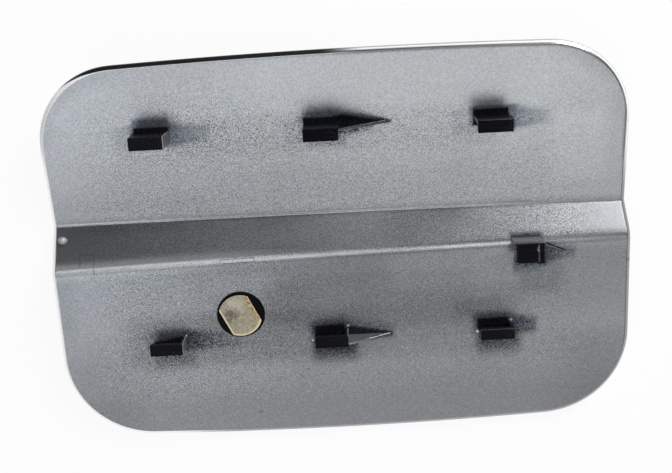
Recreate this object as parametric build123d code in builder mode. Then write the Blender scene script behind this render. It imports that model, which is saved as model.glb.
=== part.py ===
"""Outer skin panel of a car fuel door: a crowned, creased shell with slide-on hooks on its back.

Frame while building: X along the car, Y up the door, Z out of the back of the panel. Z = 0 is the back face
where the ridge crosses the middle of the panel. At the end the pieces are laid down on the outer face.
"""
import os
from math import atan2, degrees

from build123d import *

# Outline of the panel, seen from its back
panel_width = 205.5
panel_height = 140.5
top_corner_r = 29.0
bottom_corner_r = 32.0
top_bow = 2.2  # fall of the top edge from its middle to its ends
bottom_bow = 4.0  # climb of the bottom edge from its middle to its ends
edge_rise = 1.4  # climb of the top and bottom edges from left to right

# Section of the shell, heights of the back face above the ridge line
wall = 2.6
ridge_y = 11.0
ridge_fall = 0.8  # the ridge falls by this much from left to right
ridge_r = 1.2  # in the valley that the ridge leaves on the back
top_edge_height = 9.2
upper_sag = 0.6
crease_y = -1.5
crease_climb = 4.6  # the crease under the band climbs by this much from left to right
crease_height = 9.5
crease_r = 3.4  # in the groove that the crease leaves on the outer face
bottom_edge_height = 8.6
crown = 2.0  # rise of the left and right ends above the middle
rim_chamfer = 1.6
outer_edge_r = 0.6

# Slide-on hooks: a wall, a lip that reaches inwards from it and a web that closes the right end
hook_plane = 17.8  # height of all lip tops above the ridge line
hook_width = 12.0
hook_pitch = 59.0
hook_shift = -4.3  # middle column from the middle of the panel
hook_wall = 1.8
hook_web = 1.4
lip_thickness = 2.4
lip_edge_r = 0.3
top_row_y = 45.0  # outer face of the hook walls in each row
top_row_reach = 4.5
bottom_row_y = -34.1
bottom_row_reach = 4.1

# Gusset ribs that brace the middle hook of each row
rib_thickness = 1.2
rib_drop = 0.6  # start of the sloping edge below the lip top
top_rib_length = 18.2
bottom_rib_length = 15.3

# Catch hook at the right, open to the left and to the bottom
catch_left = 60.7
catch_length = 10.4
catch_top_y = 0.9
catch_depth = 7.4
catch_wall = 2.7
catch_web = 1.3
catch_lip = 2.2

# Moulded pip near the left edge of the band
pip_edge_gap = 3.7  # centre of the pip from the panel's left edge
pip_y = 6.7
pip_r = 1.7

# Round paper label with two straight sides
label_x = -37.1
label_y = -23.1
label_diameter = 15.6
label_flats = 11.7
label_turn = 25.0
label_thickness = 0.2
label_gap = 0.05

# Space left around the panel by the blocks that form and trim it
margin = 10.0
depth_below = 30.0
half_width = panel_width / 2
half_height = panel_height / 2


def crown_at(x):
    """Rise of the section at x above the middle section."""
    return crown * (x / half_width) ** 2


def ridge_at(x):
    """Place up the door of the ridge at x."""
    return ridge_y - ridge_fall * x / panel_width


def crease_at(x):
    """Place up the door of the lower crease at x."""
    return crease_y + crease_climb * x / panel_width


def slope_out(y, height, from_y, from_height):
    """Point at the margin past the edge at y, on the line from a crease through that edge."""
    reach = y + margin if y > from_y else y - margin
    return reach, from_height + (height - from_height) * (reach - from_y) / (y - from_y)


def back_height(x, y):
    """Height of the back face at x, y, without its rounded creases."""
    ridge = ridge_at(x)
    crease = crease_at(x)
    if y > ridge:
        height = top_edge_height * (y - ridge) / (half_height - ridge)
    elif y > crease:
        height = crease_height * (ridge - y) / (ridge - crease)
    else:
        fall = (crease_height - bottom_edge_height) / (crease + half_height)
        height = crease_height - fall * (crease - y)
    return height + crown_at(x)


def block_below(x, depth):
    """Section at x of the block that lies below the back face moved outwards by depth."""
    rise = crown_at(x)
    ridge = (ridge_at(x), rise)
    crease = (crease_at(x), crease_height + rise)
    top = slope_out(half_height, top_edge_height + rise, *ridge)
    bottom = slope_out(-half_height, bottom_edge_height + rise, *crease)
    with BuildSketch(Plane.YZ.offset(x)) as section:
        with BuildLine() as back:
            upper = SagittaArc(top, ridge, upper_sag)
            band = Line(upper @ 1, crease)
            Line(band @ 1, bottom)
            fillet(back.vertices().sort_by(Axis.X)[2], ridge_r)
            fillet(back.vertices().sort_by(Axis.X)[1], crease_r + wall)
            if depth > 0:
                offset(amount=depth, side=Side.LEFT, closed=False)
            ends = back.vertices().sort_by(Axis.X)
            low = ends[0]
            high = ends[-1]
            Polyline((low.X, low.Y), (low.X, -depth_below), (high.X, -depth_below), (high.X, high.Y))
        make_face()
    return section.sketch.face()


# The moulding: everything on the back is started inside the block, and the outer face trims it at the end
reach = half_width + margin
stations = (-reach, 0, reach)
root = -wall
with BuildPart() as moulding:
    # Back face, trimmed to the outline, with a chamfered rim
    loft([block_below(x, 0) for x in stations])
    with BuildSketch(Plane.XY.offset(-depth_below)) as outline:
        with BuildLine():
            high_left = (-half_width, half_height - top_bow - edge_rise / 2)
            high_right = (half_width, half_height - top_bow + edge_rise / 2)
            low_right = (half_width, -half_height + bottom_bow + edge_rise / 2)
            low_left = (-half_width, -half_height + bottom_bow - edge_rise / 2)
            ThreePointArc(high_left, (0, half_height), high_right)
            Line(high_right, low_right)
            ThreePointArc(low_right, (0, -half_height), low_left)
            Line(low_left, high_left)
        make_face()
        fillet(outline.vertices().sort_by(Axis.Y)[-2:], top_corner_r)
        fillet(outline.vertices().sort_by(Axis.Y)[:2], bottom_corner_r)
    extrude(amount=depth_below + hook_plane, mode=Mode.INTERSECT)
    back_faces = moulding.faces().filter_by(GeomType.BSPLINE)
    side_faces = moulding.faces().filter_by(GeomType.BSPLINE, reverse=True)
    chamfer(back_faces.edges() & side_faces.edges(), rim_chamfer)

    # Two rows of hooks whose lips face each other
    lip_low = hook_plane - lip_thickness
    for wall_y, inwards, lip_reach in ((top_row_y, -1, top_row_reach), (bottom_row_y, 1, bottom_row_reach)):
        lip_y = wall_y + inwards * lip_reach
        inner_y = wall_y + inwards * hook_wall
        for column in (-1, 0, 1):
            right = hook_shift + column * hook_pitch + hook_width / 2
            with BuildSketch(Plane.YZ.offset(right)):
                with BuildLine():
                    Polyline(
                        (wall_y, root),
                        (wall_y, hook_plane),
                        (lip_y, hook_plane),
                        (lip_y, lip_low),
                        (inner_y, lip_low),
                        (inner_y, root),
                        close=True,
                    )
                make_face()
            extrude(amount=-hook_width)
            with BuildSketch(Plane.YZ.offset(right)):
                with BuildLine():
                    Polyline(
                        (wall_y, root), (wall_y, hook_plane), (lip_y, hook_plane), (lip_y, root), close=True
                    )
                make_face()
            extrude(amount=-hook_web)

    # Catch hook
    catch_right = catch_left + catch_length
    catch_inner = catch_right - catch_wall
    catch_low = hook_plane - catch_lip
    with BuildSketch(Plane.XZ.offset(-catch_top_y)):
        with BuildLine():
            Polyline(
                (catch_right, root),
                (catch_right, hook_plane),
                (catch_left, hook_plane),
                (catch_left, catch_low),
                (catch_inner, catch_low),
                (catch_inner, root),
                close=True,
            )
        make_face()
    extrude(amount=catch_depth)
    with BuildSketch(Plane.XZ.offset(-catch_top_y)):
        with BuildLine():
            Polyline(
                (catch_right, root),
                (catch_right, hook_plane),
                (catch_left, hook_plane),
                (catch_left, root),
                close=True,
            )
        make_face()
    extrude(amount=catch_web)
    fillet(moulding.edges().filter_by_position(Axis.Z, hook_plane, hook_plane), lip_edge_r)

    # Gusset ribs, falling from just below the lip top to the back face
    rib_start = hook_shift + hook_width / 2
    rib_top = hook_plane - rib_drop
    for middle_y, rib_length in (
        (top_row_y - hook_wall / 2, top_rib_length),
        (bottom_row_y + hook_wall / 2, bottom_rib_length),
    ):
        rib_fall = rib_top - back_height(rib_start + rib_length, middle_y)
        buried_length = rib_length * (1 + wall / rib_fall)
        with BuildSketch(Plane.XZ.offset(-middle_y)):
            with BuildLine():
                Polyline(
                    (rib_start - hook_web, root),
                    (rib_start - hook_web, rib_top),
                    (rib_start, rib_top),
                    (rib_start + buried_length, rib_top - rib_fall - wall),
                    (rib_start + buried_length, root),
                    close=True,
                )
            make_face()
        extrude(amount=rib_thickness / 2, both=True)

    # Pip on the band
    pip_x = pip_edge_gap - half_width
    with Locations((pip_x, pip_y, back_height(pip_x, pip_y))):
        Sphere(pip_r)

    # Outer face, one wall below the back face, with its edge rounded
    loft([block_below(x, wall) for x in stations], mode=Mode.SUBTRACT)
    outer_faces = moulding.faces(Select.LAST).filter_by(GeomType.BSPLINE)
    side_faces = moulding.faces().filter_by(GeomType.BSPLINE, reverse=True)
    fillet(outer_faces.edges() & side_faces.edges(), outer_edge_r)

# Paper label, flat on the back face below the crease
label_slope_x = 2 * crown * label_x / half_width**2
label_slope_y = (crease_height - bottom_edge_height) / (crease_at(label_x) + half_height)
label_spot = (label_x, label_y, back_height(label_x, label_y))
label_seat = Plane(label_spot, z_dir=(-label_slope_x, -label_slope_y, 1))
with BuildPart() as label:
    with BuildSketch(label_seat.offset(label_gap)):
        Circle(label_diameter / 2)
        Rectangle(label_flats, label_diameter, rotation=label_turn, mode=Mode.INTERSECT)
    extrude(amount=label_thickness)

# Both pieces laid down: the outer face rests on the ridge and the bottom edge, and its lowest point is Z = 0
lean = degrees(atan2(bottom_edge_height, half_height + ridge_y))
leaning_panel = Rot(X=lean) * moulding.part
box = leaning_panel.bounding_box()
laid = Pos(-box.center().X, -box.center().Y, -box.min.Z) * Rot(X=lean)
with BuildPart() as door_panel:
    add(laid * moulding.part)
with BuildPart() as paint_label:
    add(laid * label.part)

os.makedirs("parts", exist_ok=True)
door_panel.part.label = "door_panel"
export_step(door_panel.part, "parts/door_panel.step")
paint_label.part.label = "paint_label"
export_step(paint_label.part, "parts/paint_label.step")
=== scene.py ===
import math

import bpy
import numpy as np
from mathutils import Matrix, Vector


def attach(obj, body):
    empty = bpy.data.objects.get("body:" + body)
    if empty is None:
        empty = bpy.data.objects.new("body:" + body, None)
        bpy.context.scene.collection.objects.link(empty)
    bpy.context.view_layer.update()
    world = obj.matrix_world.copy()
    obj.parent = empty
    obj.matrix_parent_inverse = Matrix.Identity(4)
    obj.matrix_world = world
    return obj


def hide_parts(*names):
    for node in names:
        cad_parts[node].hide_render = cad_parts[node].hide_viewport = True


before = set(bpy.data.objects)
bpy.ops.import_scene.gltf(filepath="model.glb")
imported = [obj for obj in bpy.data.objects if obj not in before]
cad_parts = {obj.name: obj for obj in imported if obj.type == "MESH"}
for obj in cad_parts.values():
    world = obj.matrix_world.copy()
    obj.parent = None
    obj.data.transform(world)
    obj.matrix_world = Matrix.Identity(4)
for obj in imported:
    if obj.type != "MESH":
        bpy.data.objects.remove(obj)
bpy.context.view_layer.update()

# Panel shell
# One injection moulding of black plastic, crowned along its length, with a sharp ridge and a soft crease.
# The outer face and the chamfered rim are painted silver; on the back lies thin, grainy overspray of it.
mm = 0.001
half_width = 102.75
half_height = 70.25
wall = 2.6
top_corner_r = 29.0
bottom_corner_r = 32.0
top_bow = 2.2
bottom_bow = 4.0
edge_rise = 1.4
ridge_y = 11.0
ridge_fall = 0.8
ridge_r = 1.2
top_edge_height = 9.2
upper_sag = 0.607
upper_end = 80.25
crease_y = -1.5
crease_climb = 4.6
crease_height = 9.5
crease_r = 6.0
bottom_edge_height = 8.6
crown = 2.0
lean = math.atan2(bottom_edge_height, half_height + ridge_y)

# Shifts that bring the leaning panel's middle to the origin and its lowest point to the floor
footprint_shift = 0.714
floor_shift = 1.364


def lay_down(points):
    """Points in the moulding's millimetres, turned by the lean about X and set on the floor, in metres."""
    x, y, z = np.asarray(points, float).T
    laid_y = y * math.cos(lean) - z * math.sin(lean) + footprint_shift
    laid_z = y * math.sin(lean) + z * math.cos(lean) + floor_shift
    return np.stack([x, laid_y, laid_z], 1) * mm


def crown_at(x):
    """Rise of the section at x: the crown times the square of x as a share of half the width."""
    return crown * (x / half_width) ** 2


def ridge_at(x):
    """Place of the ridge at x, on a straight line that falls to the right."""
    return ridge_y - ridge_fall * x / (2 * half_width)


def crease_at(x):
    """Place of the lower crease at x, on a straight line that climbs to the right."""
    return crease_y + crease_climb * x / (2 * half_width)


def section_lines(x, depth):
    """Corners, corner heights and slopes of the section at x, each line moved down its normal by depth."""
    start = ridge_at(x)
    upper_slope = top_edge_height / (half_height - start) - 4 * upper_sag / (upper_end - start)
    band_slope = -crease_height / (start - crease_at(x))
    lower_slope = (crease_height - bottom_edge_height) / (crease_at(x) + half_height)
    drop = [depth * np.hypot(1, slope) for slope in (upper_slope, band_slope, lower_slope)]
    ridge = start + (drop[0] - drop[1]) / (upper_slope - band_slope)
    crease = crease_at(x) + (drop[1] - drop[2]) / (band_slope - lower_slope)
    ridge_z = upper_slope * (ridge - start) - drop[0]
    crease_z = crease_height + lower_slope * (crease - crease_at(x)) - drop[2]
    return ridge, ridge_z, crease, crease_z, upper_slope, band_slope, lower_slope


def arc_ends(corner, slope_before, slope_after, radius):
    """Places where an arc of this radius leaves both lines of a corner, and its tangent length: the radius
    times the tangent of half the turn."""
    before = np.arctan(slope_before)
    after = np.arctan(slope_after)
    tangent = radius * np.tan(np.abs(after - before) / 2)
    return corner - tangent * np.cos(before), corner + tangent * np.cos(after), tangent


def round_corner(y, height, corner, corner_z, slope_before, slope_after, radius, bend):
    """Height with the corner replaced by its arc: the centre's height less bend times the half chord at y."""
    before = np.arctan(slope_before)
    first, last, tangent = arc_ends(corner, slope_before, slope_after, radius)
    centre_y = first - bend * radius * np.sin(before)
    centre_z = corner_z - tangent * np.sin(before) + bend * radius * np.cos(before)
    chord = np.sqrt(np.maximum(radius**2 - (y - centre_y) ** 2, 0))
    return np.where((y > first) & (y < last), centre_z - bend * chord, height)


def shell_height(x, y, depth=0.0):
    """Height at x, y of the back face moved down by depth: a shallow arc above the ridge, a straight band
    and lower flank, with a round valley at the ridge, a round crest at the crease and the crown added."""
    ridge, ridge_z, crease, crease_z, upper_slope, band_slope, lower_slope = section_lines(x, depth)
    start = ridge_at(x)
    share = (y - start) / (upper_end - start)
    upper = top_edge_height * (y - start) / (half_height - start) - 4 * upper_sag * share * (1 - share)
    slope = top_edge_height / (half_height - start) - 4 * upper_sag * (1 - 2 * share) / (upper_end - start)
    upper = upper - depth * np.hypot(1, slope)
    band = ridge_z + band_slope * (y - ridge)
    lower = crease_z + lower_slope * (y - crease)
    height = np.where(y > ridge, upper, np.minimum(band, lower))
    height = round_corner(y, height, ridge, ridge_z, band_slope, upper_slope, ridge_r + depth, 1)
    height = round_corner(y, height, crease, crease_z, lower_slope, band_slope, crease_r - depth, -1)
    return height + crown_at(x)


def edge_curve(x, side):
    """Top (side 1) or bottom (side -1) edge without its corners: a parabola with a slight climb."""
    bow = top_bow if side > 0 else bottom_bow
    return side * (half_height - bow * (x / half_width) ** 2) + edge_rise / 2 * x / half_width


def edge_with_corners(x, side, inset):
    """Edge of the outline moved inwards by inset, each end rounded by a circle that touches side and edge."""
    radius = top_corner_r if side > 0 else bottom_corner_r
    centre_x = half_width - radius
    near = np.linspace(centre_x, half_width, 400)
    half_chord = np.sqrt(np.maximum(radius**2 - (near - centre_x) ** 2, 0))
    edge = edge_curve(x, side) - side * inset
    for end in (-1, 1):
        centre_y = side * np.min(side * edge_curve(end * near, side) - half_chord)
        reach = np.sqrt(np.maximum((radius - inset) ** 2 - (np.abs(x) - centre_x) ** 2, 0))
        edge = np.where(end * x > centre_x, centre_y + side * reach, edge)
    return edge


def gathered(count, centres, width, gain):
    """Count + 1 fractions from 0 to 1 that gather near the centres: the inverse of a running sum of bumps."""
    place = np.linspace(0, 1, 2001)
    density = 1 + gain * sum(np.exp(-(((place - c) / width) ** 4)) for c in centres)
    total = np.concatenate([[0], np.cumsum((density[1:] + density[:-1]) / 2)])
    return np.interp(np.linspace(0, total[-1], count + 1), total, place)


# Grid of the back face: its columns gather near the hooks and its rows near both rows of hooks
hook_pitch = 59.0
hook_shift = -4.3
hook_columns = (hook_shift - hook_pitch, hook_shift, hook_shift + hook_pitch)
corner_columns = 24
middle_columns = 252
lower_rows = 92
crease_rows = 10
band_rows = 16
ridge_rows = 6
ridge_side_rows = 6
ridge_side = 1.6
upper_rows = 80
corner_start = half_width - bottom_corner_r


def plan_grid(inset, depth):
    """Grid of plan places inside the outline moved inwards by inset. Columns follow the corner arcs at both
    ends; rows run between the edges and the ends of the crease arcs, so that both creases lie along rows."""
    centres = [(x + corner_start) / (2 * corner_start) for x in hook_columns]
    middle = corner_start * (2 * gathered(middle_columns, centres, 0.085, 1.4) - 1)
    turn = np.linspace(0, math.pi / 2, corner_columns + 1)[1:]
    corner = corner_start + (bottom_corner_r - inset) * np.sin(turn)
    x = np.concatenate([-corner[::-1], middle, corner])
    ridge, _, crease, _, upper_slope, band_slope, lower_slope = section_lines(x, depth)
    crease_first, crease_last, _ = arc_ends(crease, lower_slope, band_slope, crease_r - depth)
    ridge_first, ridge_last, _ = arc_ends(ridge, band_slope, upper_slope, ridge_r + depth)
    stops = [
        edge_with_corners(x, -1, inset),
        crease_first,
        crease_last,
        ridge_first,
        ridge_last,
        ridge_last + ridge_side,
        edge_with_corners(x, 1, inset),
    ]
    shares = [
        gathered(lower_rows, [0.56], 0.14, 1.2),
        np.linspace(0, 1, crease_rows + 1),
        np.linspace(0, 1, band_rows + 1),
        np.linspace(0, 1, ridge_rows + 1),
        np.linspace(0, 1, ridge_side_rows + 1),
        gathered(upper_rows, [0.6], 0.16, 1.2),
    ]
    rows = [stops[0][:, None]]
    for start, stop, share in zip(stops[:-1], stops[1:], shares):
        rows.append(start[:, None] + (stop - start)[:, None] * share[1:])
    y = np.concatenate(rows, 1)
    return np.broadcast_to(x[:, None], y.shape), y


def border(grid):
    """The values on a grid's border, once round: bottom row, right column, top row and left column."""
    return np.concatenate([grid[:-1, 0], grid[-1, :-1], grid[:0:-1, -1], grid[0, :0:-1]])


def grid_faces(index):
    """Quads of a grid of vertex numbers, facing up where columns run to +X and rows to +Y."""
    return np.stack([index[:-1, :-1], index[1:, :-1], index[1:, 1:], index[:-1, 1:]], -1).reshape(-1, 4)


scene = bpy.context.scene


def mesh_piece(name, points, faces):
    """A new object at the origin, from points in the row frame and any lists of faces, shaded smooth."""
    mesh = bpy.data.meshes.new(name)
    corners = [list(face) for group in faces for face in np.asarray(group).tolist()]
    mesh.from_pydata(np.asarray(points).tolist(), [], corners)
    mesh.polygons.foreach_set("use_smooth", np.ones(len(mesh.polygons), bool))
    mesh.update()
    piece = bpy.data.objects.new(name, mesh)
    scene.collection.objects.link(piece)
    return piece


# Rim of the shell: how far each ring lies inside the outline, and how far below the back face
rim_chamfer = 1.6
rim_profile = (
    (1.46, 0.03),
    (1.32, 0.12),
    (1.10, 0.33),
    (0.78, 0.65),
    (0.45, 0.98),
    (0.20, 1.24),
    (0.05, 1.50),
    (0.00, 1.78),
    (0.00, 2.05),
    (0.05, 2.27),
    (0.18, 2.45),
    (0.36, 2.56),
    (0.60, 2.60),
)
back_x, back_y = plan_grid(rim_chamfer, 0.0)
back_z = shell_height(back_x, back_y)
back_index = np.arange(back_x.size).reshape(back_x.shape)
shell_points = [np.stack([back_x, back_y, back_z], -1).reshape(-1, 3)]
insets = [np.full(back_x.size, rim_chamfer)]
paint_faces = []
last_ring = border(back_index)
count = back_x.size
for inset, depth in rim_profile:
    ring_x, ring_y = (border(grid) for grid in plan_grid(inset, 0.0))
    ring_z = shell_height(ring_x, ring_y) - depth
    ring = count + np.arange(ring_x.size)
    shell_points.append(np.stack([ring_x, ring_y, ring_z], -1))
    insets.append(np.full(ring_x.size, inset))
    paint_faces.append(np.stack([last_ring, ring, np.roll(ring, -1), np.roll(last_ring, -1)], -1))
    last_ring = ring
    count += ring_x.size

# Outer face: every other column and row, joined to the last ring by threes of triangles
face_inset = 0.9
face_x, face_y = (grid[::2, ::2] for grid in plan_grid(face_inset, wall))
face_z = shell_height(face_x, face_y, wall)
face_index = count + np.arange(face_x.size).reshape(face_x.shape)
shell_points.append(np.stack([face_x, face_y, face_z], -1).reshape(-1, 3))
insets.append(np.full(face_x.size, face_inset))
face_ring = border(face_index)
face_next = np.roll(face_ring, -1)
fine = last_ring[0::2]
between = last_ring[1::2]
fine_next = np.roll(fine, -1)
paint_faces.append(np.stack([fine, face_ring, between], -1))
paint_faces.append(np.stack([between, face_ring, face_next], -1))
paint_faces.append(np.stack([between, face_next, fine_next], -1))
paint_faces.append(grid_faces(face_index)[:, ::-1])
back_faces = grid_faces(back_index)
shell_points = np.concatenate(shell_points)
insets = np.concatenate(insets)
shell = mesh_piece("panel_shell", lay_down(shell_points), [back_faces, *paint_faces])
slots = np.ones(len(shell.data.polygons), np.int32)
slots[: len(back_faces)] = 0
shell.data.polygons.foreach_set("material_index", slots)

# Overspray on the back
# Thin silver mist that settled on the black plastic, denser above the ridge and smoother near the edges.
# The hooks kept it off the plastic in their lee, and a masking dot left a bare round spot under the label.
spot_x = -36.8
spot_y = -22.65
spot_r = 8.72
low_density = 0.455
band_density = 0.50
ridge_density = 0.65
top_density = 1.12
sx, sy = shell_points[:, 0], shell_points[:, 1]
down = -sy
above_ridge = sy - ridge_at(sx)
above_crease = sy - crease_at(sx)


def ramp(value, start, stop):
    """Zero before start, one after stop and a smooth step between them."""
    share = np.clip((value - start) / (stop - start), 0, 1)
    return share * share * (3 - 2 * share)


def strip(distance, middle, reach):
    """One where the distance is middle, with a bell-shaped fall over the reach on both sides."""
    return np.exp(-(((distance - middle) / reach) ** 2))


def soft_box(left, right, low, high, fades):
    """One at the shell's points inside a rectangle in plan, falling smoothly to zero over the fades left,
    right, below and above it."""
    across = ramp(sx, left - fades[0], left) * (1 - ramp(sx, right, right + fades[1]))
    along = ramp(sy, low - fades[2], low) * (1 - ramp(sy, high, high + fades[3]))
    return across * along


def wedge(start, stop, low, high, fade):
    """One at the shell's points between two straight edges, low and high, that run from their places at
    start to those at stop, with soft borders."""
    share = np.clip((sx - start) / (stop - start), 0, 1)
    below = low[0] + (low[1] - low[0]) * share
    above = high[0] + (high[1] - high[0]) * share
    inside = ramp(sy, below - fade, below + fade) * (1 - ramp(sy, above - fade, above + fade))
    return inside * ramp(sx, start - fade, start) * (1 - ramp(sx, stop - fade, stop))


def patched(density, patches):
    """The density times one plus the gain of each patch, inside the patch's soft box."""
    for gain, edges, fades in patches:
        density = density * (1 + gain * soft_box(*edges, fades))
    return density


# Density of the mist: a share of full cover for the lower flank, the band and the upper flank. A patch has
# its gain, its left, right, low and high edge, and its four fades
smear = 0.25 - 0.12 * ramp(sx, 0, 25)
lower_patches = (
    (-0.14, (-8, 42, -28, -12), (18, 12, 5, 5)),
    (0.14, (-92, -58, -24, -6), (8, 16, 8, 4)),
    (0.10, (70, 100, -30, -6), (12, 4, 8, 3)),
    (0.22, (24, 60, -13, -5), (14, 8, 6, 4)),
    (-smear, (-72, 58, -38, -25), (12, 14, 7, 6)),
    (-0.18, (-26, -17, -25, -15), (5, 8, 5, 5)),
    (0.14, (-44, -30, -13, -9), (8, 8, 3, 4)),
    (-0.18, (43, 54, -26, -22), (6, 8, 4, 3)),
)
band_patches = ((0.36, (-25, 15, -6, 13), (40, 38, 1, 1)),)
upper_patches = (
    (-0.12, (-50, 52, 37, 47), (10, 8, 5, 4)),
    (0.12, (80, 92, 22, 42), (8, 6, 5, 5)),
)
lower = low_density * (1 + 0.14 * ramp(down, 20, 42)) * (1 - 0.14 * ramp(down, 45, 60))
lower = lower * (1 - 0.05 * ramp(sx, -60, 80) * ramp(down, 30, 50))
lower = lower * (1 - 0.16 * ramp(np.abs(sx), 66, 92) * ramp(down, 30, 42))
lower = patched(lower, lower_patches)
band = band_density * (1 - 0.3 * ramp(above_ridge, -5, -1) * (1 - ramp(sx, -75, -40)))
band = band * (1 - 0.22 * (1 - ramp(sx, -84, -62))) * (1 - 0.2 * strip(sx, 24, 11))
band = patched(band, band_patches)
by_ridge = ridge_density * (0.90 + 0.18 * ramp(sx, -60, 85))
top_side = top_density * (0.66 + 0.345 * ramp(sx, -65, 12)) * (1 - 0.2 * ramp(sx, 58, 95))
upper = by_ridge + (top_side - by_ridge) * ramp(above_ridge, 5, 51)
upper = upper * (1 - 0.10 * (1 - ramp(sx, -55, -25)) * strip(above_ridge, 6, 5))
upper = patched(upper, upper_patches)
density = lower + (band - lower) * ramp(above_crease, -0.6, 0.6)
density = density + (upper - density) * ramp(above_ridge, -0.5, 0.5)

# Strips of painted highlight and painted shade along both creases: gain, middle above the line, and reach
to_left = 1 - ramp(sx, -92, 0)
to_right = ramp(sx, 25, 85)
before_catch = ramp(sx, 28, 42) * (1 - ramp(sx, 60, 63))
crease_painted_light = (
    (1.9 * to_left, 1.7, 1.3),
    (-0.2 * strip(sx, -22, 15), 2.7, 1.6),
    (0.30 - 0.20 * strip(sx, 12, 20), -1.2, 1.4),
    (-0.27 * to_right, 1.3, 1.0),
    (0.25 * to_right, -3.0, 2.0),
    (-0.42, 0.3 - 0.55 * ramp(sx, 58, 74), 0.55),
    (0.42 * before_catch, -0.5, 0.32),
    (-0.36 * ramp(sx, 62, 92), 1.15, 0.5),
)
# Along the ridge: painted shade just below it, a painted highlight line just above it, and painted shade
# above that
ridge_painted_shade = 0.10 + 0.40 * ramp(sx, -78, -45) - 0.20 * ramp(sx, 58, 78)
ridge_painted_highlight = 0.07 + 0.42 * (1 - ramp(sx, -75, -45)) + 0.30 * ramp(sx, -8, 5) - 0.42 * ramp(sx, 58, 78)
ridge_painted_light = (
    (-ridge_painted_shade, -0.2, 0.35),
    (ridge_painted_highlight, 0.42, 0.32),
    (-0.24, 0.95, 0.28),
    (-0.14, 1.5, 1.1),
)
for distance, strips in ((above_crease, crease_painted_light), (above_ridge, ridge_painted_light)):
    for gain, middle, reach in strips:
        density = density * (1 + gain * strip(distance, middle, reach))

# Lee of the hooks: what share of the mist they kept off the plastic around them. Each hook has a bare core
# and a haze beyond it, and the bottom row has skirts below. Tuples run over the columns from left to right
hook_width = 12.0
hook_wall = 1.8
top_row_y = 45.0
bottom_row_y = -34.1
top_row_reach = 4.5
bottom_row_reach = 4.1
low_wall = bottom_row_y + hook_wall
top_cores = (1.0, 1.3, 1.4)
core_fades = (1.2, 2.0, 2.4)
haze_tops = (48.2, 47.7, 45.5)
haze_tones = (0.60, 0.56, 0.84)
haze_fades = (2.4, 2.4, 3.0)
low_reaches = ((-31.2, -29.2), (-28.2, -28.0), (-28.2, -28.0))
low_starts = (0.4, 0.0, -0.1)
low_hazes = (0.22, 0.52, 0.55)
low_skirts = (0.42, 0.76, 0.66)
skirt_starts = (2, 0.8, 1.4)
low_tails = {0: 21, 2: 10}
lee_patches = []
for column, hook_x in enumerate(hook_columns):
    left = hook_x - hook_width / 2
    right = hook_x + hook_width / 2
    core_top = top_row_y + top_cores[column]
    low_start = left + low_starts[column]
    skirt_start = left + skirt_starts[column]
    top_haze = soft_box(left, right, 44, haze_tops[column], (0.8, 1, 0.5, haze_fades[column]))
    lee_patches += [
        soft_box(left, right, top_row_y - 4.2, core_top, (0.7, 0.6, 0.2, core_fades[column])),
        haze_tones[column] * top_haze,
        0.50 * soft_box(left - 0.6, left + 1, top_row_y - 3, top_row_y + 1.5, (2.0, 1, 3, 2)),
        0.16 * soft_box(left - 5, left + 1, top_row_y - 6, top_row_y + 1, (5, 1, 2, 2)),
        wedge(low_start, right - 0.6, (low_wall - 1, low_wall - 1), low_reaches[column], 0.9),
        low_hazes[column] * soft_box(left - 0.3, right, low_wall - 2, -28.2, (3.6, 2.5, 1, 3.4)),
        low_skirts[column] * soft_box(skirt_start, right + 1, -37.0, -34, (4, 4, 9, 0.5)),
    ]
    if column == 1:
        lee_patches += [
            wedge(left + 1, right + 2.4, (43.6, 43.6), (46.0, 48.0), 0.9),
            wedge(right + 1.5, right + 19.2, (43.6, 43.7), (48.0, 44.2), 0.9),
            0.62 * wedge(right - 3.0, right + 11, (43.8, 43.7), (49.4, 45.0), 1.5),
            0.60 * wedge(right - 0.4, right + 13, (38.6, 42.2), (43.4, 43.4), 1.2),
            0.35 * soft_box(left + 3, right + 1, 37.6, 41, (4, 3, 2.5, 1)),
            0.97 * wedge(right - 0.4, right + 16.5, (-33.8, -34.2), (-28.6, -32.0), 1.0),
            0.40 * wedge(right - 1.5, right + 18, (-33.8, -34.2), (-25.6, -30.0), 2.2),
        ]
    else:
        fall = 1 - 0.7 * np.clip((sx - right) / 15, 0, 1)
        low_tail = right + low_tails[column]
        lee_patches += [
            0.62 * fall * wedge(right - 0.4, right + 15, (38.6, 41.0), (48.0, 45.4), 1.6),
            0.82 * fall * wedge(right - 0.4, low_tail, (-36, -34.6), (-27.6, -29), 1.8),
        ]
    if column == 2:
        lee_patches += [0.72 * soft_box(right - 0.4, right + 1.5, 40.4, 47.2, (0.4, 4.5, 3.0, 1.8))]
catch_fall = 1 - 0.6 * np.clip((sx - 71) / 13, 0, 1)
lee_patches += [
    0.85 * soft_box(61.2, 71.2, 0.2, 1.2, (1.5, 1.5, 0.3, 2.4)),
    soft_box(62.5, 70.0, -6.2, 0, (0.3, 0.6, 0.8, 0.3)),
    0.55 * soft_box(62.0, 70.5, -8.0, -6, (1.5, 3, 7, 1)),
    0.85 * catch_fall * wedge(70.8, 84.0, (-9.4, -6.0), (-0.6, -3.0), 1.8),
    0.20 * soft_box(66, 76, -18, -10, (5, 6, 4, 3)),
    0.85 * soft_box(71, 72.5, -8.6, -3.2, (0.5, 3, 2, 2)),
]
lee = np.maximum.reduce(lee_patches)
back_part = np.arange(len(shell_points)) < back_x.size
from_side = half_width - np.abs(sx)
from_top = edge_with_corners(sx, 1, 0.0) - sy
from_bottom = sy - edge_with_corners(sx, -1, 0.0)
from_edge = np.minimum(np.minimum(from_side, from_top), from_bottom)
top_corners = ramp(sy, 35, 50) * ramp(np.abs(sx), 60, 90)
density = density * (1 - 0.16 * (1 - ramp(from_edge, 2, 10)) * top_corners)

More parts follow.
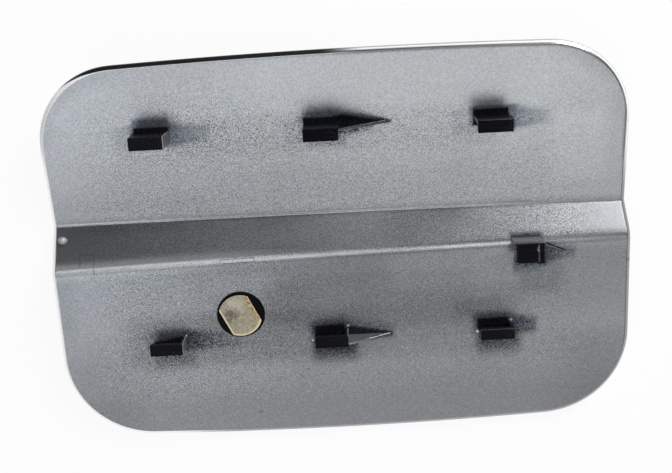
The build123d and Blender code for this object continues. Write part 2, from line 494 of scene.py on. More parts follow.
# Grain of the mist: fine near the edges and on the creases, where the paint ran together, and coarse in the
# upper middle
on_band = ramp(above_crease, 0, 1.5) * (1 - ramp(above_ridge, -1, 0))
grain_patches = (
    (0.9, (-55, 35, 40, 66), (25, 30, 12, 4)),
    (-0.35, (-5, 90, -66, -4), (30, 8, 3, 3)),
)
grain_gain = patched(1 - 0.75 * (1 - ramp(from_edge, 3, 26)), grain_patches)
grain_gain = grain_gain * (1 + 0.3 * ramp(sx, 20, 70) * on_band)
grain_gain = grain_gain * (1 - 0.6 * strip(above_ridge, 0.3, 0.7)) * (1 - 0.4 * strip(above_crease, 0, 0.8))
by_catch = soft_box(58, 74, 0.6, 5, (2, 2, 1, 1))
by_first = soft_box(-58, -42, 38.5, 47, (1, 3, 2, 2))
smooth_haze = ramp(lee, 0.1, 0.4) * np.maximum(ramp(sy, 44.5, 45.5), np.maximum(by_catch, by_first))
grain_gain = grain_gain * (1 - 0.6 * smooth_haze)

# Rim: painted shade darkens the chamfer along the top left, and a painted reflection brightens the left side
# and bottom
# left. Top right: a painted highlight outside a painted shade line; right side and bottom: painted shade, and
# a smudge
strip_edge = 1.45 * ramp(sx, -97, -77)
rim_shade_and_smudge = 0.93 * ramp(sy, 25, 45) * (1 - ramp(sx, -4, 14))
rim_shade_and_smudge = rim_shade_and_smudge * (1 - ramp(insets, strip_edge - 0.2, strip_edge + 0.15))
rim_painted_reflection = np.maximum(1 - ramp(sx, -92, -76), (1 - ramp(sx, -66, -40)) * ramp(down, 25, 45)) * (1 - rim_shade_and_smudge)
right_edge = ramp(sx, -6, 12) * ramp(sy, 14, 34)
inner_line_shade = 0.7 - 0.3 * ramp(sx, 88, 101)
rim_shade_and_smudge = np.maximum(rim_shade_and_smudge, inner_line_shade * right_edge * ramp(insets, 0.75, 0.95))
rim_shade_and_smudge = np.maximum(rim_shade_and_smudge, 0.35 * right_edge * (1 - ramp(insets, 0.05, 0.25)))
rim_painted_highlight = 0.93 * right_edge * (1 - ramp(insets, 0.72, 0.9)) * ramp(insets, 0.15, 0.35)
top_left = (1 - ramp(sx, -82, -64)) * ramp(sy, 30, 45)
rim_painted_highlight = np.maximum(rim_painted_highlight, top_left * ramp(insets, strip_edge - 0.1, strip_edge + 0.15))
low_edge = (1 - rim_painted_reflection) * (1 - ramp(sy, 14, 34)) * ramp(sx, -76, -60)
band_end = ramp(sx, 95, 99) * ramp(above_crease, -1, 1) * (1 - ramp(above_ridge, -1, 1))
rim_shade = 0.32 + 0.18 * ramp(insets, 0.1, 0.35) + 0.3 * band_end * ramp(insets, 0.9, 1.2)
rim_shade_and_smudge = np.maximum(rim_shade_and_smudge, low_edge * rim_shade)
rim_shade_and_smudge = np.maximum(rim_shade_and_smudge, 0.75 * ramp(sx, 98, 100) * strip(sy, -8.8, 1.1))
# Painted shade on the back face just inside the top right edge
back_edge_shade = 1 - 0.45 * right_edge * (1 - ramp(from_edge, 1.65, 2.5))
shell_shares = {
    "rim_shade_and_smudge": rim_shade_and_smudge,
    "rim_painted_highlight": rim_painted_highlight,
    "rim_painted_reflection": rim_painted_reflection,
    "spray": np.where(back_part, density * (1 - lee) * back_edge_shade, 1),
    "lee": lee,
    "tint": lee * ramp(sy, -36, -32),
    "spot": np.hypot(sx - spot_x, sy - spot_y) - spot_r,
    "grain": grain_gain,
}


def write_shares(piece, shares):
    """Float attributes on the points of a piece, from names and arrays or single values."""
    for name, values in shares.items():
        written = piece.data.attributes.new(name, "FLOAT", "POINT")
        full = np.broadcast_to(np.asarray(values, np.float32), len(piece.data.vertices))
        written.data.foreach_set("value", np.ascontiguousarray(full))


write_shares(shell, shell_shares)


def add_node(kind, inputs, **settings):
    """A node of this kind with its settings, and with inputs that are values or other nodes' sockets. It is
    made in the tree of the first socket among them."""
    tree = next(value.id_data for value in inputs.values() if isinstance(value, bpy.types.NodeSocket))
    made = tree.nodes.new(kind)
    for name, value in settings.items():
        setattr(made, name, value)
    for name, value in inputs.items():
        if isinstance(value, bpy.types.NodeSocket):
            tree.links.new(value, made.inputs[name])
        else:
            made.inputs[name].default_value = value
    return made


def new_material(name, looks):
    """A node material with its tree and its Principled shader, whose own sockets take the values in looks."""
    material = bpy.data.materials.new(name)
    material.use_nodes = True
    shader = material.node_tree.nodes["Principled BSDF"]
    for socket, value in looks.items():
        shader.inputs[socket].default_value = value
    return material, material.node_tree, shader


def object_place(tree):
    """The place of a surface point in its object's own coordinates."""
    return tree.nodes.new("ShaderNodeTexCoord").outputs["Object"]


def math_node(operation, *values):
    """The output of a Math node."""
    return add_node("ShaderNodeMath", dict(enumerate(values)), operation=operation).outputs[0]


def times(first, second):
    """The product of two values."""
    return math_node("MULTIPLY", first, second)


def vector_node(operation, inputs, output):
    """One output of a Vector Math node."""
    return add_node("ShaderNodeVectorMath", inputs, operation=operation).outputs[output]


def mix_colour(share, first, second):
    """The colour that lies at this share between two colours."""
    return add_node("ShaderNodeMix", {0: share, 6: first, 7: second}, data_type="RGBA").outputs[2]


def map_range(value, start, stop, low=0.0, high=1.0):
    """The value mapped in a straight line from start and stop to low and high, and held there."""
    inputs = {"Value": value, "From Min": start, "From Max": stop, "To Min": low, "To Max": high}
    return add_node("ShaderNodeMapRange", inputs).outputs[0]


def share_of(tree, name):
    """The value of a float attribute that the mesh carries."""
    attribute = tree.nodes.new("ShaderNodeAttribute")
    attribute.attribute_name = name
    return attribute.outputs["Fac"]


def noise(place, scale, detail):
    """A cloudy share from 0 to 1 at a place, with about scale patches to the unit and this much detail."""
    inputs = {"Vector": place, "Scale": scale, "Detail": detail}
    return add_node("ShaderNodeTexNoise", inputs).outputs["Fac"]


def cells(place, scale, channel):
    """Distance of a place from the nearest of many scattered points, and that point's own random share."""
    pattern = add_node("ShaderNodeTexVoronoi", {"Vector": place, "Scale": scale})
    colour = add_node("ShaderNodeSeparateColor", {"Color": pattern.outputs["Color"]})
    return pattern.outputs["Distance"], colour.outputs[channel]


def stretched(place, scales):
    """A place scaled by its own factor along each axis."""
    return add_node("ShaderNodeMapping", {"Vector": place, "Scale": scales}).outputs[0]


def along_line(place, start, heading):
    """Distance of an object place from a start point, along a heading, all in the moulding's millimetres."""
    x, y, z = heading
    laid = (x, y * math.cos(lean) - z * math.sin(lean), y * math.sin(lean) + z * math.cos(lean))
    offset = float(np.dot(laid, lay_down([start])[0])) / mm
    reach = vector_node("DOT_PRODUCT", {0: place, 1: tuple(v / mm for v in laid)}, "Value")
    return math_node("SUBTRACT", reach, offset)


def box_distance(across, up, half_across, half_up):
    """Distance outside a rectangle's border, from the two distances from its centre: the larger overshoot."""
    over_x = math_node("SUBTRACT", math_node("ABSOLUTE", across), half_across)
    over_y = math_node("SUBTRACT", math_node("ABSOLUTE", up), half_up)
    return math_node("MAXIMUM", over_x, over_y)


def on_back(x, y):
    """The point of the back face above one plan place."""
    return x, y, float(shell_height(np.array(x), np.array(y)))


overspray, tree, shader = new_material("overspray", {"Roughness": 0.30, "Specular IOR Level": 0.03})
place = object_place(tree)
spray_share = share_of(tree, "spray")
grain = noise(place, 2600.0, 1.0)
_, droplet_tone = cells(place, 2900.0, 0)
mist = math_node("MULTIPLY_ADD", grain, 1.1, -0.55)
mist = times(mist, map_range(spray_share, 0.0, 0.2, 0.15, 1.1))
spatter = math_node("MULTIPLY_ADD", noise(place, 1150.0, 1.0), 1.6, -0.8)
spatter = times(spatter, map_range(share_of(tree, "lee"), 0.1, 0.6, 0.0, 0.45))
spatter = times(spatter, map_range(spray_share, 0.05, 0.2))
mist = math_node("ADD", mist, spatter)
mist = times(mist, share_of(tree, "grain"))
covered = map_range(math_node("ADD", spray_share, mist), 0.0, 1.4, 0.0, 1.4)
covered = times(covered, map_range(share_of(tree, "spot"), -0.12, 0.12))

# Marks in the mist: two slim moulded frames on the crease, drawn as painted shade along their edges and left
# out on their lit lower left, faint seams of the mould along both rows of hooks, one scratch by the catch
# hook, a few dark flecks and some round blobs of paint by the bottom hooks
mark_half = 0.2
frame_places = ((-90.2, -1.75, 2.45, 3.75, -0.06), (-39.65, -2.5, 9.1, 0.68, 0.018))
for frame_x, frame_y, half_across, half_up, climb in frame_places:
    centre = on_back(frame_x, frame_y)
    across = along_line(place, centre, (1, 0, 0))
    up = along_line(place, centre, (0, 1, 0))
    up = math_node("SUBTRACT", up, times(across, climb))
    line = math_node("ABSOLUTE", box_distance(across, up, half_across, half_up))
    # Painted shade is left out at the frames' lit lower left
    lit_frame_side = map_range(math_node("ADD", across, up), -3.5, -2.5, 0.3, 0.0)
    line = math_node("ADD", line, lit_frame_side)
    covered = times(covered, map_range(line, 0.04, mark_half, 0.35, 1.0))
across = math_node("ABSOLUTE", along_line(place, (hook_shift, 0, 0), (1, 0, 0)))
for seam_y in (top_row_y, top_row_y - top_row_reach, bottom_row_y + bottom_row_reach, bottom_row_y):
    seam = math_node("ABSOLUTE", along_line(place, (0, seam_y, 0), (0, 1, 0)))
    seam = math_node("MAXIMUM", seam, math_node("MULTIPLY_ADD", across, 0.02, -1.4))
    covered = times(covered, map_range(seam, 0.08, 0.30, 0.88, 1.0))
scratch_start = np.array((73.0, -1.2))
scratch_end = np.array((79.6, -4.1))
scratch_half = 0.12
scratch_length = math.dist(scratch_start, scratch_end)
scratch_x, scratch_y = (float(v) for v in (scratch_end - scratch_start) / scratch_length)
scratch_middle = on_back(*(scratch_start + scratch_end) / 2)
along = along_line(place, scratch_middle, (scratch_x, scratch_y, 0))
beside = along_line(place, scratch_middle, (-scratch_y, scratch_x, 0))
scratch = box_distance(along, beside, scratch_length / 2, scratch_half)
covered = times(covered, map_range(scratch, 0.0, 0.3, 0.04, 1.0))
fleck, fleck_pick = cells(stretched(place, (34.0, 75.0, 75.0)), 1.0, 1)
fleck = math_node("ADD", fleck, map_range(fleck_pick, 0.3, 0.9, 0.0, 0.05))
covered = times(covered, map_range(fleck, 0.018, 0.045, 0.55, 1.0))
blob_places = (
    (-11.5, -34.2, 0.5),
    (60.4, -29.7, 0.8),
    (48.3, -33.7, 0.75),
    (1.6, -29.1, 0.7),
    (-57.2, -29.7, 0.55),
)
for blob_x, blob_y, blob_r in blob_places:
    blob_middle = lay_down([on_back(blob_x, blob_y)])[0]
    off = vector_node("DISTANCE", {0: place, 1: tuple(blob_middle)}, "Value")
    blob = map_range(off, 0.3 * blob_r * mm, blob_r * mm, 1.3, 0.0)
    covered = math_node("MAXIMUM", covered, blob)

tone = math_node("MULTIPLY_ADD", droplet_tone, 0.3, 0.85)
thin = map_range(share_of(tree, "tint"), 0.1, 0.7)
pigment = mix_colour(thin, (0.53, 0.55, 0.57, 1), (0.465, 0.52, 0.62, 1))
silver = vector_node("SCALE", {0: pigment, "Scale": tone}, 0)
tree.links.new(mix_colour(covered, (0.004, 0.004, 0.005, 1), silver), shader.inputs["Base Color"])
tree.links.new(map_range(covered, 0.0, 0.35, 0.0, 0.85), shader.inputs["Metallic"])
relief = add_node("ShaderNodeBump", {"Height": grain, "Strength": 0.2, "Distance": 0.0001})
tree.links.new(relief.outputs[0], shader.inputs["Normal"])

gloss = {"Roughness": 0.3, "Coat Weight": 0.3, "Coat Roughness": 0.04}
silver_gloss, tree, shader = new_material("silver_gloss", gloss)
place = object_place(tree)
_, flake_tone = cells(place, 6000.0, 0)
tone = math_node("MULTIPLY_ADD", flake_tone, 0.16, 0.92)
# The rim's painted reflection, painted highlight and painted shade lighten and darken its silver
silver = mix_colour(share_of(tree, "rim_painted_reflection"), (0.60, 0.61, 0.62, 1), (0.97, 0.97, 0.98, 1))
silver = mix_colour(share_of(tree, "rim_painted_highlight"), silver, (1.0, 1.0, 1.0, 1))
silver = mix_colour(share_of(tree, "rim_shade_and_smudge"), silver, (0.012, 0.012, 0.014, 1))
silver = vector_node("SCALE", {0: silver, "Scale": tone}, 0)
tree.links.new(silver, shader.inputs["Base Color"])
tree.links.new(map_range(share_of(tree, "rim_painted_highlight"), 0.0, 1.0, 0.85, 0.0), shader.inputs["Metallic"])
shell.data.materials.append(overspray)
shell.data.materials.append(silver_gloss)
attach(shell, "root")
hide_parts("door_panel")

# Slide-on hooks
# Six L-shaped hooks of bare black plastic stand on the back in two rows, moulded in one piece with the shell.
# Their lips face each other; a web closes each right end, and mist reached the outer side of the webs.
hook_plane = 17.8
hook_web = 1.4
lip_thickness = 2.4
hook_edge = 0.3
hook_root = 1.2


def foot_height(x, y):
    """Lowest height of the back under these plan places, less the depth that a foot is sunk into it."""
    return float(np.min(shell_height(np.asarray(x, float), np.asarray(y, float)))) - hook_root


def hook_points(left, right, wall_y, inwards, reach):
    """Corners of a hook: its L section at the left end, the inner corners where the web starts, and the web's
    outline at the right end, with the lower corners sunk into the shell."""
    inner_y = wall_y + inwards * hook_wall
    lip_y = wall_y + inwards * reach
    lip_low = hook_plane - lip_thickness
    base = foot_height([left, left, right, right], [wall_y, lip_y, wall_y, lip_y])
    back = ((wall_y, base), (wall_y, hook_plane), (lip_y, hook_plane))
    section = (*back, (lip_y, lip_low), (inner_y, lip_low), (inner_y, base))
    inside = ((lip_y, lip_low), (inner_y, lip_low), (inner_y, base), (lip_y, base))
    outlines = ((left, section), (right - hook_web, inside), (right, (*back, (lip_y, base))))
    return [(x, y, z) for x, outline in outlines for y, z in outline]


web_face = 1
hook_faces = (
    (0, 1, 2, 3, 4, 5),
    (13, 12, 11, 10),
    (1, 0, 10, 11),
    (2, 1, 11, 12),
    (3, 2, 12, 13, 9, 6),
    (4, 3, 6, 7),
    (5, 4, 7, 8),
    (6, 9, 8, 7),
    (0, 5, 8, 9, 13, 10),
)


def bevel_edges(piece, width):
    """Rounds a piece's sharp edges and keeps its flat faces flat."""
    bevel = piece.modifiers.new("edges", "BEVEL")
    bevel.width = width * mm
    bevel.segments = 3
    bevel.limit_method = "ANGLE"
    bevel.harden_normals = True


def misted_piece(name, points, faces, misted, spray_values, worn, dusted, edge):
    """A black piece with bevelled edges. Its faces numbered in misted carry overspray of the given shares.
    The others carry specks of it, more where worn is high, and streaks of it where dusted is high."""
    piece = mesh_piece(name, lay_down(points), [[face] for face in faces])
    numbers = np.zeros(len(faces), np.int32)
    numbers[list(misted)] = 1
    piece.data.polygons.foreach_set("material_index", numbers)
    write_shares(piece, {"spray": spray_values, "spot": 1.0, "grain": 1.0, "worn": worn, "dusted": dusted})
    bevel_edges(piece, edge)
    piece.data.materials.append(hook_plastic)
    piece.data.materials.append(overspray)
    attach(piece, "root")
    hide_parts("door_panel")


def box_mark(place, centre, halves, soft):
    """One inside a box in the moulding's millimetres, from its centre and half sizes, with a soft border."""
    overshoots = []
    for axis, half in zip(((1, 0, 0), (0, 1, 0), (0, 0, 1)), halves):
        offset = math_node("ABSOLUTE", along_line(place, centre, axis))
        overshoots.append(math_node("SUBTRACT", offset, half))
    outside = math_node("MAXIMUM", math_node("MAXIMUM", *overshoots[:2]), overshoots[2])
    return map_range(outside, 0.0, soft, 1.0, 0.0)


hook_plastic, tree, shader = new_material("hook_plastic", {"Roughness": 0.18, "Specular IOR Level": 0.04})
place = object_place(tree)
brushed = noise(stretched(place, (90.0, 2200.0, 2200.0)), 1.0, 3.0)
colour = mix_colour(brushed, (0.001, 0.001, 0.002, 1), (0.008, 0.008, 0.011, 1))
specks = math_node("MULTIPLY_ADD", share_of(tree, "worn"), 0.13, noise(place, 2600.0, 1.0))
colour = mix_colour(map_range(specks, 0.72, 1.0), colour, (0.08, 0.08, 0.09, 1))
blown = noise(stretched(place, (160.0, 2600.0, 2600.0)), 1.0, 2.0)
blown = math_node("MULTIPLY_ADD", share_of(tree, "dusted"), 0.9, blown)
colour = mix_colour(map_range(blown, 0.85, 1.3), colour, (0.25, 0.26, 0.28, 1))

# Light lines on edges, partly paint caught on them and partly painted highlight: lips of the right column,
# webs of the left column and of the bottom middle hook, and the catch hook's post and lip. A line has its
# middle, its half sizes and its grey
mark_fade = 0.15
edge_paint_and_highlights = (
    ((54.7, -30.15, 17.75), (5.7, 0.10, 0.2), 0.05),
    ((54.7, 44.85, 17.75), (5.7, 0.08, 0.2), 0.06),
    ((1.5, -30.0, 13.5), (0.15, 0.3, 4.0), 0.17),
    ((-57.5, -30.0, 13.5), (0.15, 0.3, 4.0), 0.3),
    ((-57.4, -32.0, 17.75), (0.14, 2.0, 0.2), 0.28),
    ((-57.4, 42.75, 17.75), (0.14, 2.2, 0.2), 0.3),
    ((-57.4, 44.9, 13.5), (0.15, 0.2, 4.0), 0.25),
    ((69.2, -2.8, 17.75), (0.15, 3.1, 0.2), 0.12),
    ((68.9, -1.2, 17.75), (0.25, 0.7, 0.2), 0.30),
    ((65.6, -6.3, 17.75), (3.0, 0.12, 0.2), 0.16),
    ((61.3, -6.0, 17.75), (0.7, 0.15, 0.2), 0.22),
)
speckled = map_range(specks, 0.35, 0.65)
for centre, halves, grey in edge_paint_and_highlights:
    paint_and_highlight = times(box_mark(place, centre, halves, mark_fade), speckled)
    colour = mix_colour(paint_and_highlight, colour, (grey, grey, 1.05 * grey, 1))
tree.links.new(colour, shader.inputs["Base Color"])

# Wear grows from the left end of a hook to its web, and no streaks lie on the hooks
web_wear = [0] * 6 + [0.88] * 4 + [1] * 4
no_dust = -1.0
web_mists = {"top": (0.5, 0.1, 0.1), "bottom": (0.75, 0.55, 0.15)}
column_names = ("left", "middle", "right")
hook_rows = (("top", top_row_y, -1, top_row_reach), ("bottom", bottom_row_y, 1, bottom_row_reach))
for row_name, wall_y, inwards, reach in hook_rows:
    faces = [face[::inwards] for face in hook_faces]
    for hook_x, column_name, web_mist in zip(hook_columns, column_names, web_mists[row_name]):
        points = hook_points(hook_x - hook_width / 2, hook_x + hook_width / 2, wall_y, inwards, reach)
        name = f"hook_{row_name}_{column_name}"
        misted_piece(name, points, faces, (web_face,), web_mist, web_wear, no_dust, hook_edge)

# Gusset ribs
# Thin triangular ribs of the same moulding brace the middle hook of each row and run down to the back face.
# Mist coats their sloping edges, the top rib's inner side and both sides of the bottom rib.
rib_foot = 1.2
rib_crest = 0.6
rib_drop = 0.6
rib_sink = 0.5
rib_edge = 0.15
rib_wear = 0.4
rib_start = hook_columns[1] + hook_width / 2
rib_lengths = {"top": 18.2, "bottom": 15.3}
rib_top = hook_plane - rib_drop
rib_faces = (
    (0, 1, 2, 3, 4),
    (9, 8, 7, 6, 5),
    (5, 6, 1, 0),
    (6, 7, 2, 1),
    (7, 8, 3, 2),
    (8, 9, 4, 3),
    (9, 5, 0, 4),
)
rib_misted = {"top": (1, 4), "bottom": (0, 1, 4)}
rib_sprays = {
    "top": (0.3, 0.2, 0.22, 0.2, 0.2, 0.5, 0.4, 0.4, 0.25, 0.25),
    "bottom": (1.7, 0.8, 0.38, 0.55, 1.2, 0.4, 0.4, 0.38, 0.48, 0.6),
}
for row_name, wall_y, inwards, _ in hook_rows:
    middle_y = wall_y + inwards * hook_wall / 2
    tip_x, _, tip_z = on_back(rib_start + rib_lengths[row_name], middle_y)
    steepness = (rib_top - tip_z) / rib_lengths[row_name]
    sunk_x = tip_x + hook_root / steepness
    base = foot_height([rib_start, tip_x], [middle_y, middle_y])
    inside_x = rib_start - hook_web / 2
    profile = (
        (inside_x, base, rib_foot),
        (inside_x, rib_top, rib_crest),
        (rib_start, rib_top, rib_crest),
        (sunk_x, tip_z - hook_root, rib_foot),
        (sunk_x, base - rib_sink, rib_foot),
    )
    points = [(x, middle_y + side * width / 2, z) for side in (1, -1) for x, z, width in profile]
    misted = rib_misted[row_name]
    spray = rib_sprays[row_name]
    misted_piece(f"rib_{row_name}", points, rib_faces, misted, spray, rib_wear, no_dust, rib_edge)

# Catch hook
# A hook near the right end of the crease: a post, a lip to its left and a web behind them, open to the
# left and below. The carrier's spring tongue drops in under the lip; mist covers the back of the web.
catch_left = 60.7
catch_right = 71.1
catch_top_y = 0.9
catch_low_y = -6.5
catch_wall = 2.7
catch_web = 1.3
catch_lip = 2.2
catch_inner = catch_right - catch_wall
catch_under = hook_plane - catch_lip
catch_back = catch_top_y - catch_web
catch_base = foot_height([catch_left, catch_right] * 2, [catch_top_y] * 2 + [catch_low_y] * 2)
left_foot = (catch_left, catch_base)
left_top = (catch_left, hook_plane)
right_foot = (catch_right, catch_base)
right_top = (catch_right, hook_plane)
lip_end = (catch_left, catch_under)
lip_root = (catch_inner, catch_under)
post_foot = (catch_inner, catch_base)
outlines = (
    (catch_top_y, (left_foot, left_top, right_top, right_foot)),
    (catch_low_y, (left_top, lip_end, lip_root, post_foot, right_foot, right_top)),
    (catch_back, (lip_end, left_foot, post_foot, lip_root)),
)
points = [(x, y, z) for y, outline in outlines for x, z in outline]
faces = [
    (0, 1, 2, 3),
    (1, 4, 9, 2),
    (4, 5, 6, 7, 8, 9),
    (3, 2, 9, 8),
    (1, 0, 11, 10, 5, 4),
    (10, 13, 6, 5),
    (6, 13, 12, 7),
    (10, 11, 12, 13),
    (0, 3, 8, 7, 12, 11),
]
foot_corners = [0, 3]
foot_mist = 2.4
web_spray = np.zeros(len(points))
web_spray[foot_corners] = foot_mist
from_left = (np.asarray(points)[:, 0] - catch_left) / (catch_right - catch_left)
dusted = 0.62 - 3.2 * from_left
misted_piece("catch_hook", points, faces, (0,), web_spray, 0.0, dusted, hook_edge)

# Pip
# A small round nub on the band near the left edge, moulded with the shell, in grey paint. Painted shade turns
# the side away from the ridge black. It is a ball of rings that start just beside its top and end below the
# band.
pip_x = -99.05
pip_y = 6.7
pip_r = 1.7
pip_z = crease_height * (ridge_at(pip_x) - pip_y) / (ridge_at(pip_x) - crease_at(pip_x)) + crown_at(pip_x)
pip_rings = 18
pip_sides = 40
pip_first = 0.02
pip_last = 0.62 * math.pi


def turned_rings(rings, sides):
    """Vertex numbers of closed rings of points, one row a ring, with each first number again at the end."""
    ring = np.arange(rings * sides).reshape(rings, sides)
    return np.concatenate([ring, ring[:, :1]], 1)


around = np.linspace(0, 2 * math.pi, pip_sides + 1)[:-1]
rise = np.linspace(pip_first, pip_last, pip_rings)
ball_x = pip_x + pip_r * np.sin(rise)[:, None] * np.cos(around)
ball_y = pip_y + pip_r * np.sin(rise)[:, None] * np.sin(around)
ball_z = pip_z + pip_r * np.cos(rise)[:, None] * np.ones(pip_sides)
ball = np.stack([ball_x, ball_y, ball_z], -1).reshape(-1, 3)
rings = turned_rings(pip_rings, pip_sides)
pip = mesh_piece("pip", lay_down(ball), [grid_faces(rings), [rings[0, :-1]], [rings[-1, -2::-1]]])
pip_paint, tree, shader = new_material("pip_paint", {"Metallic": 0.25, "Roughness": 0.42})
place = object_place(tree)
cloud = noise(place, 1500.0, 2.0)
colour = mix_colour(cloud, (0.20, 0.21, 0.22, 1), (0.52, 0.54, 0.56, 1))
# Painted shade: black on the side away from the ridge, grey paint on the side towards it
lit_pip_side = map_range(along_line(place, (pip_x, pip_y, pip_z), (0.2, 0.93, 0.3)), -0.9, 0.7)
colour = mix_colour(lit_pip_side, (0.01, 0.01, 0.012, 1), colour)
tree.links.new(colour, shader.inputs["Base Color"])
pip.data.materials.append(pip_paint)
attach(pip, "root")
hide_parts("door_panel")

# Paper label
# A round sticker with two straight sides, of tan paper with worn edges, stuck flat on the bare spot.
# Its top is rings that shrink to a middle point, and its thin edge and underside close it.
label_x = -37.1
label_y = -23.1
label_r = 7.8
label_flats = 11.7
label_turn = math.radians(25)
label_thickness = 0.2
label_gap = 0.05
label_rings = 24
label_sides = 144
share = np.linspace(0, 1, label_rings + 1)[1:, None]
around = np.linspace(0, 2 * math.pi, label_sides + 1)[:-1]
edge_r = np.minimum(label_r, label_flats / 2 / np.maximum(np.abs(np.cos(around - label_turn)), 1e-6))
sheet_x = label_x + share * edge_r * np.cos(around)
sheet_y = label_y + share * edge_r * np.sin(around)
sheet_z = shell_height(sheet_x, sheet_y) + label_gap
top = np.stack([sheet_x, sheet_y, sheet_z + label_thickness], -1).reshape(-1, 3)
under = np.stack([sheet_x, sheet_y, sheet_z], -1)[-1]
centre_z = on_back(label_x, label_y)[2] + label_gap
middle = np.array([[label_x, label_y, centre_z + label_thickness], [label_x, label_y, centre_z]])
rings = turned_rings(label_rings, label_sides)
low_ring = label_rings * label_sides + np.arange(label_sides)
low_next = np.roll(low_ring, -1)
top_middle = (label_rings + 1) * label_sides
inner = np.stack([np.full(label_sides, top_middle), rings[0, :-1], rings[0, 1:]], -1)
side = np.stack([rings[-1, :-1], low_ring, low_next, rings[-1, 1:]], -1)
lower = np.stack([np.full(label_sides, top_middle + 1), low_next, low_ring], -1)
label_points = np.concatenate([top, under, middle])
label = mesh_piece("label", lay_down(label_points), [grid_faces(rings), inner, side, lower])
paper, tree, shader = new_material("tan_paper", {"Roughness": 0.6})
place = object_place(tree)
fibre = noise(place, 900.0, 4.0)
blotch = noise(place, 420.0, 3.0)
speckle = noise(place, 2400.0, 1.0)
speckle = math_node("MULTIPLY_ADD", speckle, 1.4, math_node("MULTIPLY_ADD", fibre, 1.0, -0.7))
colour = mix_colour(speckle, (0.17, 0.152, 0.095, 1), (0.47, 0.425, 0.31, 1))
label_spot = (label_x, label_y, centre_z)
across_flats = (math.cos(label_turn), math.sin(label_turn), 0)
along_flats = (-math.sin(label_turn), math.cos(label_turn), 0)
across = along_line(place, label_spot, across_flats)
along = along_line(place, label_spot, along_flats)


def length_of(across, along):
    """Length of a step with these two parts: the root of the sum of their squares."""
    squares = [times(part, part) for part in (across, along)]
    return math_node("SQRT", math_node("ADD", *squares))


def round_patch(across, along, spot, reach, noise_share):
    """One at a spot on the label, falling to zero at about the reach, with a border frayed by a noise."""
    off_x = math_node("SUBTRACT", across, spot[0])
    off_y = math_node("SUBTRACT", along, spot[1])
    distance = math_node("SUBTRACT", length_of(off_x, off_y), 2.0)
    frayed = math_node("MULTIPLY_ADD", noise_share, 4.0, distance)
    return map_range(frayed, 0.3 * reach, reach, 1.0, 0.0)


pale_patch = round_patch(across, along, (0.2, 4.2), 4.2, blotch)
colour = mix_colour(times(pale_patch, 0.6), colour, (0.52, 0.49, 0.40, 1))
smudge = round_patch(across, along, (-2.8, 1.8), 3.8, speckle)
colour = mix_colour(times(smudge, 0.75), colour, (0.07, 0.06, 0.045, 1))

# Torn edges: cream along the left side and the bottom, and brown streaks of old glue inside the right side
lengthwise = add_node("ShaderNodeCombineXYZ", {0: times(across, 2.2), 1: along})
glue = noise(lengthwise.outputs[0], 0.9, 3.0)
glue_tone = mix_colour(map_range(glue, 0.42, 0.6), (0.16, 0.09, 0.025, 1), (0.60, 0.45, 0.19, 1))
inside_right = times(map_range(across, 4.1, 5.0), map_range(along, -5.0, -3.0))
colour = mix_colour(times(inside_right, 0.9), colour, glue_tone)
bottom = times(map_range(length_of(across, along), 6.8, 7.6), map_range(along, -1.0, -3.0))
cream = math_node("MAXIMUM", map_range(across, -5.15, -5.5), bottom)
cream = math_node("MAXIMUM", cream, map_range(across, 5.5, 5.75, 0.0, 0.5))
colour = mix_colour(cream, colour, (0.80, 0.69, 0.42, 1))
tree.links.new(colour, shader.inputs["Base Color"])
label.data.materials.append(paper)
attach(label, "root")
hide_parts("paint_label")

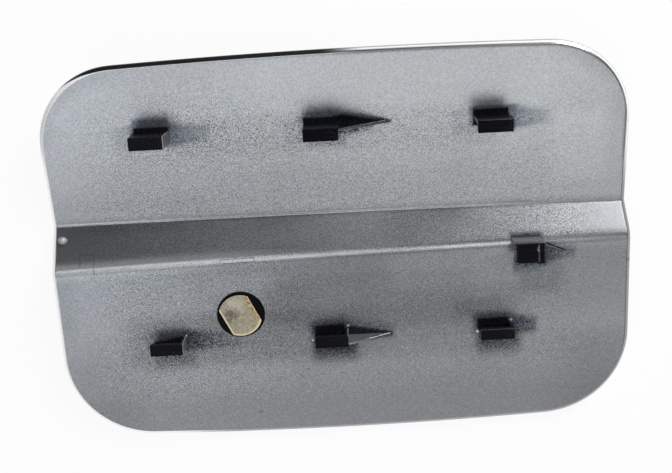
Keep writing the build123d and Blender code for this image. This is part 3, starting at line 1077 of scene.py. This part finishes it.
# Stage
# A pale floor under the panel that shows near white to the camera and keeps the panel's soft shadow.
floor_half = 5.0
floor_corners = ((-1, -1), (1, -1), (1, 1), (-1, 1))
floor = mesh_piece("floor", [(floor_half * x, floor_half * y, 0) for x, y in floor_corners], [[(0, 1, 2, 3)]])
floor_white = 0.9
floor_look = {"Base Color": (0.86, 0.86, 0.86, 1), "Roughness": 0.7}
floor_paint, tree, shader = new_material("floor_paint", floor_look)
glow = tree.nodes.new("ShaderNodeEmission")
path = tree.nodes.new("ShaderNodeLightPath")
seen = math_node("MAXIMUM", path.outputs["Is Camera Ray"], path.outputs["Is Glossy Ray"])
seen = math_node("MAXIMUM", seen, path.outputs["Is Transmission Ray"])
seen = times(seen, floor_white)
blend = add_node("ShaderNodeMixShader", {0: seen, 1: shader.outputs[0], 2: glow.outputs[0]})
tree.links.new(blend.outputs[0], tree.nodes["Material Output"].inputs["Surface"])
floor.data.materials.append(floor_paint)

# Light
# Broad soft lamps in front, overhead and behind at the right, and a faint even sky.
world = bpy.data.worlds.new("studio")
world.use_nodes = True
scene.world = world
sky = world.node_tree.nodes["Background"].inputs
sky["Color"].default_value = (1, 1, 1, 1)
sky["Strength"].default_value = 0.02


def soft_lamp(name, spot, size, power, tint=(1.0, 1.0, 1.0)):
    """A square lamp of this size in metres that looks at the panel from its spot."""
    light = bpy.data.lights.new(name, "AREA")
    light.color = tint
    light.size = size
    light.energy = power
    lamp = bpy.data.objects.new(name, light)
    lamp.location = spot
    lamp.rotation_euler = Vector(spot).to_track_quat("Z", "Y").to_euler()
    scene.collection.objects.link(lamp)


soft_lamp("front", (0.0, -0.75, 0.52), 1.1, 3.87)
soft_lamp("over_left", (-0.40, -0.25, 0.80), 0.45, 0.98, (0.93, 0.99, 1.07))
soft_lamp("over_right", (0.40, -0.25, 0.80), 0.45, 0.32)
soft_lamp("over_back", (0.0, 0.20, 0.90), 0.4, 1.38)
soft_lamp("over_back_left", (-0.32, 0.28, 0.85), 0.3, 0.71)
soft_lamp("back_right", (0.50, 0.65, 0.45), 0.4, 8.3)

# Camera
# At the photograph's angle: 672 pixels across, with a focal length of 1050 pixels and no shift.
photo_width = 672
focal_pixels = 1050.4
sensor = 36.0
eye = (0.0041, 0.0686, 0.3768)
view_axis = (-0.0138, -0.1730, -0.9849)
view_up = (0.0507, 0.9835, -0.1734)
lens = bpy.data.cameras.new("camera")
lens.sensor_fit = "HORIZONTAL"
lens.sensor_width = sensor
lens.lens = sensor * focal_pixels / photo_width
lens.clip_start = 0.01
camera = bpy.data.objects.new("camera", lens)
forward = Vector(view_axis).normalized()
across = forward.cross(Vector(view_up)).normalized()
turn = Matrix((across, across.cross(forward), -forward)).transposed().to_4x4()
camera.matrix_world = Matrix.Translation(eye) @ turn
scene.collection.objects.link(camera)
scene.camera = camera
scene.view_settings.view_transform = "Standard"
